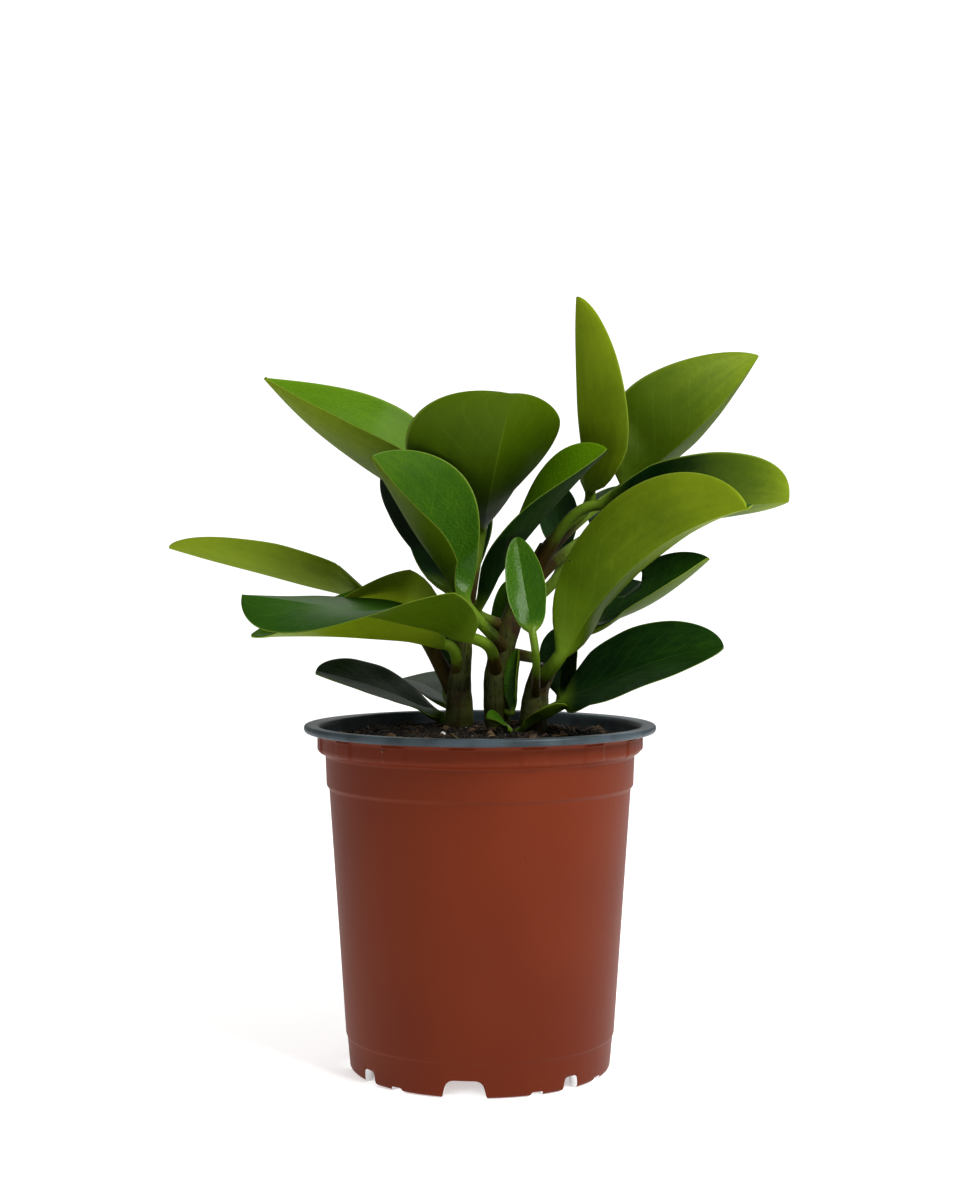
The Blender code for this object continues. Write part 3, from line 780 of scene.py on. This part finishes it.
def leaf_finish(name, settings, gloss, pebble, coat):
    """Skin of a leaf: its upper face, its underside, the margin, the midrib and the stalk"""
    skin = Finish(name)
    along, across = skin.attribute("along"), skin.attribute("across")
    upper = skin.attribute("upper").ramp(-0.2, 0.2)
    side = abs(across)
    patches = skin.noise(0.016, 3.0)
    grain = skin.noise(0.0022, 3.0)
    lengthwise = skin.add("ShaderNodeCombineXYZ", (across * 9, along * 2.2, skin.attribute("sun")))
    streaks = skin.noise(1.0, 3.0, 0.6, lengthwise)
    # Painted light and shade, broken up by noise, picks each face's green between painted shade, plain
    # and painted light
    sun = skin.attribute("sun") + (patches - 0.5) * 0.22 + (streaks - 0.5) * 0.16 + (grain - 0.5) * 0.10
    half, full = sun.ramp(0.0, 0.5), sun.ramp(0.45, 1.0)
    over = skin.mix(full, skin.mix(half, settings.over_painted_shade, settings.over), settings.over_painted_lit)
    under = skin.mix(full, skin.mix(half, settings.under_painted_shade, settings.under), settings.under_painted_lit)
    base = skin.mix(upper, under, over)
    # Side veins leave the midrib at a slant and curve towards the tip.
    slant = (along * 8 - side * 3.2 + patches * 0.6).math("FRACT")
    vein = abs(slant - 0.5).ramp(0.0, 0.12, 1.0, 0.0) * side.ramp(0.05, 0.25) * side.ramp(0.95, 0.6)
    base = skin.mix(vein * 0.035, base, settings.margin)
    rib = side.ramp(0.015, 0.06, 1.0, 0.0) * along.ramp(0.7, 1.0, 1.0, 0.0)
    base = skin.mix(rib * upper.ramp(0, 1, 0.16, 0.12), base, settings.margin)
    edge = side.ramp(0.965, 0.995)
    base = skin.mix(edge * 0.5, base, settings.margin)
    stalk = along.ramp(-0.02, 0.13, 1.0, 0.0)
    pale_stalk = skin.mix(grain, settings.stalk, tuple(c * 0.6 for c in settings.stalk))
    base = skin.mix(stalk * 0.85, base, pale_stalk)
    foot = (along + grain * 0.25 + patches * 0.3).ramp(-0.42, -0.14, 1.0, 0.0)
    base = skin.mix(foot * 0.85, base, settings.joint)
    speck = skin.cells(0.0085).ramp(0.03, 0.05, 1.0, 0.0) * skin.noise(0.03).ramp(0.52, 0.6)
    base = skin.mix(speck * 0.75, base, (0.020, 0.012, 0.006))
    pebbles = skin.cells(0.0010)
    relief = pebbles * (upper * pebble + 0.25) + skin.noise(0.006, 2.0) * 0.9 - vein * 0.25
    rough = upper.ramp(0, 1, 0.52, gloss) + (patches - 0.5) * 0.10 + stalk * 0.05
    return skin.finish(
        Base_Color=base,
        Roughness=rough,
        Normal=skin.bump(relief, 0.00010, 1.0),
        Coat_Weight=upper * coat,
        Coat_Roughness=0.16,
        Specular_IOR_Level=0.10,
    )


def stem_finish(settings):
    """Fleshy bark: olive brown, with maroon patches and fine dark streaks along the stem"""
    bark = Finish("stem_bark")
    stretched = bark.add(
        "ShaderNodeMapping", {"Vector": bark.place, "Scale": (1.0, 1.0, 0.22)}
    )
    streaks = bark.noise(0.0007, 3.0, 0.6, stretched)
    patches = bark.noise(0.009, 3.0)
    base = bark.mix(patches.ramp(0.35, 0.65), settings.stem, (0.062, 0.074, 0.012))
    base = bark.mix(bark.noise(0.012, 2.0).ramp(0.52, 0.62) * 0.75, base, settings.joint)
    base = bark.mix(streaks.ramp(0.54, 0.64) * 0.75, base, (0.012, 0.007, 0.003))
    scar = bark.attribute("node")
    base = bark.mix(scar * 0.10, base, (0.20, 0.20, 0.06))
    relief = streaks * 0.6 + bark.noise(0.002, 3.0)
    return bark.finish(
        Base_Color=base,
        Roughness=0.34 + patches * 0.25,
        Normal=bark.bump(relief, 0.00022),
        Coat_Weight=0.05,
        Coat_Roughness=0.25,
        Specular_IOR_Level=0.2,
        Subsurface_Weight=0.1,
        Subsurface_Radius=(0.8, 0.6, 0.2),
        Subsurface_Scale=0.001,
    )


def plastic_finish(settings):
    """Two-layer thermoformed sheet: terracotta outside, dark grey inside and on the rolled rim"""
    sheet = Finish("pot_plastic")
    grey = sheet.attribute("grey").ramp(0.4, 0.6)
    broad = sheet.noise(0.06, 1.0)
    clay = sheet.mix(broad.ramp(0.3, 0.7), settings.outside, settings.shade)
    smoke = sheet.mix(
        sheet.noise(0.01, 3.0).ramp(0.35, 0.7), settings.inside, tuple(c * 0.6 for c in settings.inside)
    )
    base = sheet.mix(grey, clay, smoke)
    dust = sheet.cells(0.0070).ramp(0.012, 0.024, 1.0, 0.0) * sheet.noise(0.02).ramp(0.5, 0.56)
    base = sheet.mix(dust * 0.5, base, (0.45, 0.24, 0.12))
    dots = sheet.cells(0.0210).ramp(0.008, 0.016, 1.0, 0.0) * (1 - grey)
    base = sheet.mix(dots * 0.8, base, (0.02, 0.009, 0.005))
    fine = sheet.noise(0.0009, 3.0)
    relief = fine * 0.3 + sheet.noise(0.012, 2.0) * 0.8
    rough = 0.45 + (broad - 0.5) * 0.06 + fine * 0.05 - grey * 0.10
    return sheet.finish(
        Base_Color=base,
        Roughness=rough,
        Normal=sheet.bump(relief, 0.00004),
        Specular_IOR_Level=0.16,
    )


def peat_finish(name, dark, light, low, high):
    """Peat or crumbs: each grain has its own tint between dark and light"""
    soil = Finish(name)
    tint = soil.noise(0.0032, 3.0, 0.6)
    grain = soil.noise(0.0006, 3.0, 0.7)
    base = soil.mix((tint * 0.75 + grain * 0.25).ramp(low, high), dark, light)
    return soil.finish(
        Base_Color=base,
        Roughness=0.66 + grain * 0.3,
        Normal=soil.bump(grain + tint, 0.0003),
        Specular_IOR_Level=0.35,
    )


# ---------------------------------------------------------------- operators


class PotMaker(bpy.types.Operator):
    """Turn the nursery pot from its profile, with its collar panels, notches and drain holes"""

    bl_idname = "peperomia.pot"
    bl_label = "Nursery pot"

    def execute(self, context):
        settings = context.scene.peperomia_pot
        points, grey = self.profile()
        edges = [(i, i + 1) for i in range(len(points) - 1)]
        mesh = mesh_of("pot", [(r, 0, z) for r, z in points], [], edges)
        set_values(mesh, "grey", grey)
        pot = new_object("pot", mesh)
        maker = Maker("Turned pot")
        maker.inputs(
            plastic_finish(settings),
            Steps=settings.steps,
            Panels=settings.panels,
            Share=settings.panel_share,
            Relief=settings.panel_relief,
        )
        self.turn(maker)
        maker.applied(pot)
        face_out(pot.data)
        for angle, width, height in NOTCHES:
            cut(pot, self.notch(angle, width, height))
        for i in range(DRAINS):
            cut(pot, self.drain(2 * math.pi * (i + 0.5) / DRAINS))
        face_out(pot.data)
        placed(pot, "plastic", "nursery_pot")
        return {"FINISHED"}

    def profile(self):
        """Points along the profile with its corners rounded, and which of them are grey"""
        corners = [np.array(corner[:2], float) for corner in POT_CORNERS]
        points, grey = [corners[0]], [1.0]
        for i in range(1, len(corners) - 1):
            here, rounding = corners[i], POT_CORNERS[i][2]
            before, after = corners[i - 1] - here, corners[i + 1] - here
            reach = min(rounding * 1.6, np.linalg.norm(before) * 0.48, np.linalg.norm(after) * 0.48)
            start, end = here + unit(before) * reach, here + unit(after) * reach
            for f in np.linspace(0, 1, 6):
                points.append((1 - f) ** 2 * start + 2 * f * (1 - f) * here + f**2 * end)
                grey.append(1.0 if i < GREY_CORNERS else 0.0)
        points.append(corners[-1])
        grey.append(0.0)
        return points, grey

    def turn(self, maker):
        """Wraps a grid round the axis, one column for each step and one row for each profile point"""
        profile, steps = maker.value("Geometry"), maker.value("Steps")
        rows = maker.add("GeometryNodeAttributeDomainSize", (profile,), component="MESH")
        grid = maker.add("GeometryNodeMeshGrid", {"Vertices X": steps + 1, "Vertices Y": rows})
        index = maker.add("GeometryNodeInputIndex")
        column = (index / rows + 0.0001).math("FLOOR")
        row = index - column * rows
        position = maker.add("GeometryNodeInputPosition")
        spot = maker.add(
            "GeometryNodeSampleIndex", {"Geometry": profile, "Value": position, "Index": row},
            data_type="FLOAT_VECTOR", domain="POINT",
        )
        named = maker.add("GeometryNodeInputNamedAttribute", {"Name": "grey"}, data_type="FLOAT")
        grey = maker.add(
            "GeometryNodeSampleIndex", {"Geometry": profile, "Value": named, "Index": row},
            data_type="FLOAT", domain="POINT",
        )
        radius = maker.add("ShaderNodeSeparateXYZ", (spot,))
        height = maker.output(radius, "Z")
        share = column / steps
        panel = abs((share * maker.value("Panels") + 0.5).math("FRACT") - 0.5) * 2
        raised = (panel - maker.value("Share")).ramp(-0.015, 0.015, 1.0, 0.0)
        inside_collar = height.ramp(0.1062, 0.1078) * height.ramp(0.1126, 0.1132, 1.0, 0.0)
        outer = radius.ramp(0.0525, 0.0535)
        swell = raised * inside_collar * outer * maker.value("Relief") * (1 - grey)
        # The middle of a panel stands 6 degrees left of the front.
        angle = share * (2 * math.pi) - math.radians(96)
        far = radius + swell
        place = maker.add(
            "ShaderNodeCombineXYZ", (far * angle.math("COSINE"), far * angle.math("SINE"), height)
        )
        shaped = maker.add("GeometryNodeSetPosition", {"Geometry": grid, "Position": place})
        marked = maker.add(
            "GeometryNodeStoreNamedAttribute", {"Geometry": shaped, "Name": "grey", "Value": grey},
            data_type="FLOAT", domain="POINT",
        )
        merged = maker.add("GeometryNodeMergeByDistance", {"Geometry": marked, "Distance": 1e-6})
        maker.close(merged)

    def notch(self, angle, width, height):
        """A rounded wedge through the foot ring, as deep as the ring is wide"""
        wide = NOTCH_RING * math.sin(math.radians(width / 2))
        outline = [(-1.08 * wide, -1), (1.08 * wide, -1), (0.84 * wide, height), (-0.84 * wide, height)]
        corner = min(height, wide) * 0.45
        ring = []
        for i, (x, z) in enumerate(outline):
            here = np.array((x, z), float)
            if z < 0:
                ring.append(here)
                continue
            before = unit(np.array(outline[i - 1], float) - here) * corner
            after = unit(np.array(outline[(i + 1) % 4], float) - here) * corner
            ring += [here + before * (1 - f) ** 2 + after * f**2 for f in np.linspace(0, 1, 6)]
        rings = [[(x, y, z) for x, z in ring] for y in NOTCH_DEPTHS]
        points, faces = loft(rings)
        faces += [tuple(range(len(ring))), tuple(range(len(ring), 2 * len(ring)))]
        a = math.radians(angle)
        points = [(x * math.cos(a) - y * math.sin(a), x * math.sin(a) + y * math.cos(a), z)
                  for x, y, z in points]
        mesh = mesh_of("notch", points, faces)
        face_out(mesh)
        return new_object("notch", mesh)

    def drain(self, angle):
        """A round cutter through the base"""
        form = bmesh.new()
        radius = DRAIN_RADIUS * MM
        bmesh.ops.create_cone(
            form, cap_ends=True, segments=32, radius1=radius, radius2=radius, depth=8 * MM
        )
        centre = Vector((DRAIN_RING * math.cos(angle), DRAIN_RING * math.sin(angle), 6)) * MM
        return cutter("drain", form, centre)


class PeatMaker(bpy.types.Operator):
    """Fill the pot with peat, whose top is a rough low dome"""

    bl_idname = "peperomia.peat"
    bl_label = "Peat"

    def execute(self, context):
        soil = context.scene.peperomia_soil
        finish = peat_finish("peat_moist", soil.dark, soil.brown, 0.55, 0.8)
        lump = dome(soil, "peat_ball", 60, 140, True)
        lump.data.materials.append(finish)
        placed(lump, "peat", "peat")
        return {"FINISHED"}


def dome(soil, name, rings, steps, closed):
    """The peat's top, and the rest of the root ball under it if closed"""
    points, faces = [], []
    for i in range(1, rings + 1):
        share = i / rings
        for k in range(steps):
            a = 2 * math.pi * k / steps
            x, y = (soil.radius / MM * share * f for f in (math.cos(a), math.sin(a)))
            z = soil.crown / MM - (soil.crown - soil.edge) / MM * share**2
            rough = noise.fractal(Vector((x, y, soil.seed)) * 0.16, 1.0, 2.0, 4)
            fine = noise.fractal(Vector((x, y, soil.seed)) * 0.7, 1.0, 2.0, 3)
            points.append((x, y, z + (rough * 1.1 + fine * 0.55) * (1 if closed else 0.9)))
    if closed:
        for radius, z in ((51.0, 104), (50.6, 97), (49.4, 93), (44, 14), (39.6, 7.1)):
            for k in range(steps):
                a = 2 * math.pi * k / steps
                points.append((radius * math.cos(a), radius * math.sin(a), z))
    count = len(points) // steps
    for i in range(count - 1):
        for k in range(steps):
            n = (k + 1) % steps
            faces.append((i * steps + k, i * steps + n, (i + 1) * steps + n, (i + 1) * steps + k))
    points.append((0, 0, soil.crown / MM))
    fan(faces, 0, steps, len(points) - 1)
    if closed:
        points.append((0, 0, 7.1))
        fan(faces, (count - 1) * steps, steps, len(points) - 1)
    mesh = mesh_of(name, points, faces)
    face_out(mesh)
    return new_object(name, mesh)


def scattered(maker, grain, count_name, tilt):
    """Copies of a grain, turned and sized at random, on the surface that the tree is given"""
    spots = maker.add(
        "GeometryNodeDistributePointsOnFaces",
        {"Mesh": maker.value("Geometry"), "Density": maker.value(count_name) / SOIL_AREA,
         "Seed": maker.value("Seed")},
    )
    turn = maker.add(
        "FunctionNodeRandomValue",
        {0: (-tilt, -tilt, 0), 1: (tilt, tilt, 2 * math.pi), "Seed": maker.value("Seed") + 1},
        data_type="FLOAT_VECTOR",
    )
    share = maker.add(
        "FunctionNodeRandomValue", {2: 0.0, 3: 1.0, "Seed": maker.value("Seed") + 2},
        output=1, data_type="FLOAT",
    )
    size = maker.value("Small") + (maker.value("Large") - maker.value("Small")) * share**2.5
    return maker.add(
        "GeometryNodeInstanceOnPoints",
        {"Points": spots, "Instance": grain, "Rotation": turn,
         "Scale": maker.add("ShaderNodeCombineXYZ", (size, size * 0.8, size * 0.62))},
    )


def roughened(maker, geometry, scale, depth):
    """Moves every point by noise, so that no two grains are alike"""
    wobble = maker.add(
        "ShaderNodeTexNoise", {"Scale": scale, "Detail": 2.0}, output="Color"
    )
    centred = maker.add("ShaderNodeVectorMath", (wobble, (0.5, 0.5, 0.5)), operation="SUBTRACT")
    move = maker.add(
        "ShaderNodeVectorMath", {"Vector": centred, "Scale": depth}, operation="SCALE"
    )
    return maker.add("GeometryNodeSetPosition", {"Geometry": geometry, "Offset": move})


class CrumbMaker(bpy.types.Operator):
    """Scatter peat crumbs and perlite grains over the peat"""

    bl_idname = "peperomia.crumbs"
    bl_label = "Crumbs and perlite"

    def execute(self, context):
        soil = context.scene.peperomia_soil
        crumb = soil.crumb
        rows = (
            ("peat_crumbs", soil.crumbs, crumb * 0.35, crumb * 1.5, soil.seed,
             peat_finish("crumbs", soil.dark, soil.brown, 0.42, 0.78)),
            ("bark_crumbs", soil.crumbs // 30, crumb * 0.7, crumb * 2.6, soil.seed + 20,
             peat_finish("bark", (0.035, 0.022, 0.013), (0.16, 0.10, 0.055), 0.35, 0.7)),
            ("perlite_grains", soil.perlite, crumb * 0.25, crumb * 0.95, soil.seed + 40,
             peat_finish("perlite", (0.40, 0.38, 0.34), (0.82, 0.80, 0.76), 0.3, 0.7)),
        )
        for name, count, small, large, seed, finish in rows:
            pile = dome(soil, name, 24, 64, False)
            maker = Maker(name)
            maker.inputs(finish, Count=count, Small=small, Large=large, Seed=seed)
            grain = maker.add("GeometryNodeMeshIcoSphere", {"Radius": 1.0, "Subdivisions": 1})
            lying = scattered(maker, grain, "Count", 0.9)
            real = maker.add("GeometryNodeRealizeInstances", (lying,))
            maker.close(roughened(maker, real, 900.0, maker.value("Large") * 0.8))
            maker.applied(pile)
            placed(pile, "peat")
        return {"FINISHED"}


class FibreMaker(bpy.types.Operator):
    """Strew thin root fibres and pale straws over the peat"""

    bl_idname = "peperomia.fibres"
    bl_label = "Fibres"

    def execute(self, context):
        soil = context.scene.peperomia_soil
        rows = (
            ("root_fibres", soil.fibres, 0.0018, 0.0070, 0.00010, soil.seed + 60,
             peat_finish("fibre_brown", (0.028, 0.018, 0.010), (0.14, 0.09, 0.045), 0.3, 0.7)),
            ("straws", soil.fibres // 9, 0.0025, 0.0085, 0.00020, soil.seed + 83,
             peat_finish("fibre_straw", (0.13, 0.085, 0.035), soil.straw, 0.3, 0.7)),
        )
        for name, count, small, large, thick, seed, finish in rows:
            tangle = dome(soil, name, 24, 64, False)
            maker = Maker(name)
            maker.inputs(finish, Count=count, Small=small, Large=large, Thick=thick, Seed=seed)
            thread = maker.add(
                "GeometryNodeCurveQuadraticBezier",
                {"Resolution": 7, "Start": (-1, 0, 0), "Middle": (0, 0.5, 0.35), "End": (1, 0.1, 0)},
            )
            lying = scattered(maker, thread, "Count", 0.3)
            real = maker.add("GeometryNodeRealizeInstances", (lying,))
            bent = roughened(maker, real, 260.0, 0.0022)
            round_ = maker.add(
                "GeometryNodeCurvePrimitiveCircle", {"Resolution": 5, "Radius": maker.value("Thick")}
            )
            tube = maker.add(
                "GeometryNodeCurveToMesh", {"Curve": bent, "Profile Curve": round_, "Fill Caps": True}
            )
            maker.close(tube)
            maker.applied(tangle)
            placed(tangle, "peat")
        return {"FINISHED"}


class StemMaker(bpy.types.Operator):
    """Grow the fleshy stems, thickened at each joint where a leaf leaves them"""

    bl_idname = "peperomia.stems"
    bl_label = "Stems"

    def execute(self, context):
        finish = stem_finish(context.scene.peperomia_plant)
        for stem in STEMS:
            path, radii = smooth_path(stem.path, stem.radii, STEM_ROWS)
            joints = [leaf.foot[2] for leaf in LEAVES if leaf.stem == stem.name]
            rings, marks = [], []
            normal = np.array((0.0, -1.0, 0.0))
            for i, centre in enumerate(path):
                heading = unit(path[min(i + 1, STEM_ROWS - 1)] - path[max(i - 1, 0)])
                normal = unit(normal - heading * np.dot(normal, heading))
                side = np.cross(heading, normal)
                swell = max(math.exp(-((centre[2] - z) / 2.2) ** 2) for z in joints)
                ring = []
                for k in range(STEM_SIDES):
                    a = 2 * math.pi * k / STEM_SIDES
                    lump = noise.noise(Vector((math.cos(a), math.sin(a), centre[2] * 0.12)) * 1.3)
                    ridge = 1 + 0.04 * swell + 0.05 * lump
                    ring.append(centre + radii[i] * ridge * (side * math.cos(a) + normal * math.sin(a)))
                    marks.append(max(math.exp(-((centre[2] - z - 3) / 0.9) ** 2) for z in joints))
                rings.append(ring)
            points, faces = loft(rings)
            points += [path[0], path[-1] + heading * radii[-1] * 0.5]
            fan(faces, 0, STEM_SIDES, len(points) - 2)
            fan(faces, (STEM_ROWS - 1) * STEM_SIDES, STEM_SIDES, len(points) - 1)
            mesh = mesh_of(stem.name + "_bark", points, faces)
            face_out(mesh)
            set_values(mesh, "node", marks + [0, 0])
            mesh.materials.append(finish)
            placed(new_object(stem.name + "_bark", mesh), "stem", stem.name)
        return {"FINISHED"}


class LeafMaker(bpy.types.Operator):
    """Grow every leaf with its stalk"""

    bl_idname = "peperomia.leaves"
    bl_label = "Leaves"

    def execute(self, context):
        plant = context.scene.peperomia_plant
        finishes = {tone: leaf_finish("leaf_" + tone, plant, *skin) for tone, skin in SKINS.items()}
        for leaf in LEAVES:
            blade = leaf_object(leaf, plant, finishes[leaf.tone])
            if leaf.name == "leaf_bitten":
                cut(blade, self.bite(leaf))
                blade.data.shade_smooth()
            placed(blade, leaf.tone, leaf.name)
        return {"FINISHED"}

    def bite(self, leaf):
        """A ragged ball where the far margin has been eaten"""
        point, heading, normal = midrib(leaf, BITE_PLACE)
        out, rise, _ = lifted(leaf, BITE_PLACE, -1)
        side = np.cross(heading, normal)
        centre = point + half_width(leaf, BITE_PLACE) * (side * out + normal * rise)
        form = bmesh.new()
        bmesh.ops.create_icosphere(form, subdivisions=4, radius=BITE_RADIUS * MM)
        for vert in form.verts:
            vert.co *= 1 + 0.10 * noise.noise(vert.co * 260)
        return cutter("bite", form, Vector(centre) * MM)


class StageMaker(bpy.types.Operator):
    """Set the plain floor, the soft studio lights and the camera"""

    bl_idname = "peperomia.stage"
    bl_label = "Stage"

    def execute(self, context):
        scene = context.scene
        stage = scene.peperomia_stage
        low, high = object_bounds()
        middle = (low + high) / 2
        floor = Finish("floor_pale")
        pale = floor.mix(floor.noise(0.4, 1.0) * 0.1, stage.floor, tuple(c * 0.97 for c in stage.floor))
        turns = [2 * math.pi * k / 96 for k in range(96)]
        wide = stage.reach / MM
        edge = [(wide * math.cos(a), wide * math.sin(a), -0.2) for a in turns]
        mesh = mesh_of("floor", edge, [tuple(range(96))])
        mesh.materials.append(floor.finish(
            Base_Color=pale, Roughness=0.9, Specular_IOR_Level=0.1,
            Emission_Color=(1, 1, 1, 1), Emission_Strength=stage.glow,
        ))
        new_object("floor", mesh)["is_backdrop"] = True

        # The surroundings look white, and light the plant more softly than that.
        world = bpy.data.worlds.new("studio")
        scene.world = world
        world.use_nodes = True
        sky = Nodes(world.node_tree)
        seen = sky.add("ShaderNodeLightPath", output="Is Camera Ray")
        power = seen.ramp(0, 1, stage.sky, 1.0)
        light = sky.add("ShaderNodeBackground", {"Color": (1, 1, 1, 1), "Strength": power})
        end = world.node_tree.nodes.new("ShaderNodeOutputWorld")
        world.node_tree.links.new(light.socket, end.inputs["Surface"])

        # Name, place round the object, size and power of each soft box
        for name, place, size, power in (
            ("key", (0.60, -0.55, 0.85), 0.5, 11.0),
            ("fill", (-0.75, -0.45, 0.35), 0.7, 0.7),
            ("back", (0.15, 0.8, 0.8), 0.8, 2.5),
        ):
            lamp = bpy.data.lights.new(name, "AREA")
            lamp.energy = power
            lamp.size = size
            holder = new_object(name, lamp)
            holder.location = place
            aim = Vector((0, 0, middle.z)) - holder.location
            holder.rotation_euler = aim.to_track_quat("-Z", "Y").to_euler()

        camera = new_object("camera", bpy.data.cameras.new("camera"))
        camera.data.lens = stage.lens
        camera.data.sensor_width = 36
        camera.data.shift_y = -0.034
        camera.location = (0, -stage.distance, stage.height)
        camera.rotation_euler = (math.pi / 2, 0, 0)
        scene.camera = camera
        scene.view_settings.view_transform = "Standard"
        scene.view_settings.look = "Medium High Contrast"
        return {"FINISHED"}


# ---------------------------------------------------------------- add-on

MAKERS = (PotMaker, PeatMaker, CrumbMaker, FibreMaker, StemMaker, LeafMaker, StageMaker)
SETTINGS = {
    "peperomia_pot": PotSettings,
    "peperomia_soil": SoilSettings,
    "peperomia_plant": PlantSettings,
    "peperomia_stage": StageSettings,
}


class PeperomiaPanel(bpy.types.Panel):
    """Lists the pieces in the order in which they are made"""

    bl_idname = "VIEW3D_PT_peperomia"
    bl_label = "Potted Peperomia"
    bl_space_type = "VIEW_3D"
    bl_region_type = "UI"
    bl_category = "Peperomia"

    def draw(self, context):
        for maker in MAKERS:
            self.layout.operator(maker.bl_idname)
        for group in SETTINGS:
            box = self.layout.box()
            held = getattr(context.scene, group)
            for name in held.bl_rna.properties.keys():
                if name not in ("rna_type", "name"):
                    box.prop(held, name)


def register():
    for cls in (*SETTINGS.values(), *MAKERS, PeperomiaPanel):
        bpy.utils.register_class(cls)
    for name, cls in SETTINGS.items():
        setattr(bpy.types.Scene, name, PointerProperty(type=cls))


def unregister():
    for name in SETTINGS:
        delattr(bpy.types.Scene, name)
    for cls in reversed((*SETTINGS.values(), *MAKERS, PeperomiaPanel)):
        bpy.utils.unregister_class(cls)


def main():
    register()
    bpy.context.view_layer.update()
    for obj in list(bpy.data.objects):
        if obj.name in ("Cube", "Light", "Camera"):
            bpy.data.objects.remove(obj, do_unlink=True)
    for maker in MAKERS:
        group, name = maker.bl_idname.split(".")
        getattr(getattr(bpy.ops, group), name)()


if __name__ == "__main__":
    main()
